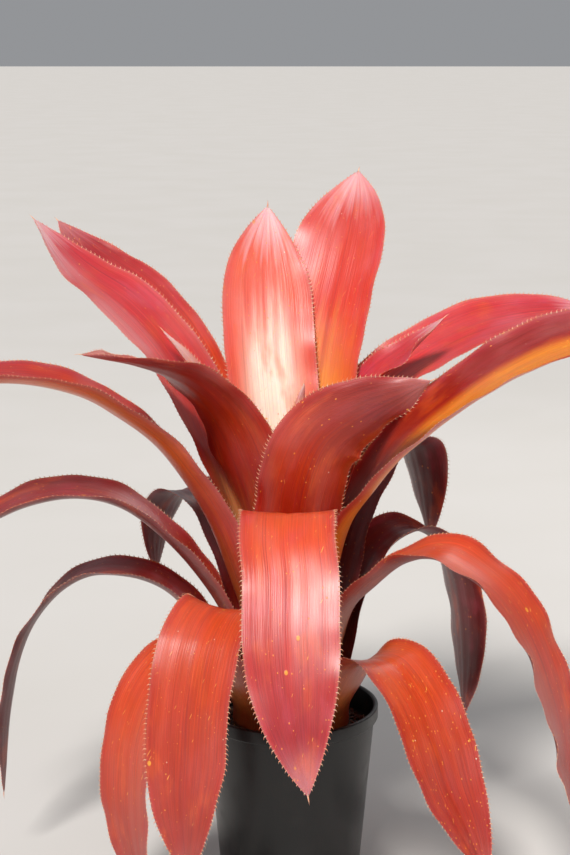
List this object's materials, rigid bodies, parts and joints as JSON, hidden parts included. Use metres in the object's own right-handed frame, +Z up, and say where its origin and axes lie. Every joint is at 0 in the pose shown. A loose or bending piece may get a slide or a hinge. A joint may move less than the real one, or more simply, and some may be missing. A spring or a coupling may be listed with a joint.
{
  "type": "potted bromeliad",
  "caption": "Potted bromeliad: a rosette of arching, spine-edged strap leaves in coral red, on a short stem in a tapered black plastic nursery pot filled with bark mix.",
  "frame": {"origin": "middle of the pot's underside, on the pot's axis", "axes": "+Z up along the pot's axis, -Y towards the front of the plant, +X to its right"},
  "size_m": [0.6655, 0.5277, 0.654],
  "materials": {
    "pot_plastic": "smooth black polypropylene, softly glossy",
    "bark_mix": "damp chopped bark with pale perlite specks",
    "stem": "fibrous, matt",
    "leaf_cream": "waxy leaf, cream to coral, satin",
    "leaf_coral": "waxy leaf, coral red with fine veins, satin",
    "leaf_crimson": "waxy leaf, deep red-orange, satin",
    "leaf_maroon": "waxy leaf, dark maroon, satin"
  },
  "bodies": {
    "root": {"pot": "pot_plastic", "soil": "bark_mix", "stem": "stem", "leaf_heart": "leaf_cream", "leaf_crown_back": "leaf_cream", "leaf_crown_right": "leaf_coral", "leaf_inner_right": "leaf_coral", "leaf_crown_left": "leaf_cream", "leaf_inner_left": "leaf_crimson", "leaf_upper_right": "leaf_coral", "leaf_inner_front": "leaf_crimson", "leaf_upper_left": "leaf_coral", "leaf_upper_left_back": "leaf_coral", "leaf_right": "leaf_coral", "leaf_back_upper": "leaf_crimson", "leaf_left": "leaf_coral", "leaf_front": "leaf_coral", "leaf_back": "leaf_crimson", "leaf_front_right": "leaf_coral", "leaf_left_back": "leaf_maroon", "leaf_right_back": "leaf_maroon", "leaf_left_middle": "leaf_maroon", "leaf_front_left": "leaf_coral", "leaf_right_back_lower": "leaf_maroon", "leaf_back_lower": "leaf_maroon", "leaf_left_lower": "leaf_maroon", "leaf_front_left_lower": "leaf_crimson", "leaf_front_right_lower": "leaf_coral"}
  },
  "joints": []
}
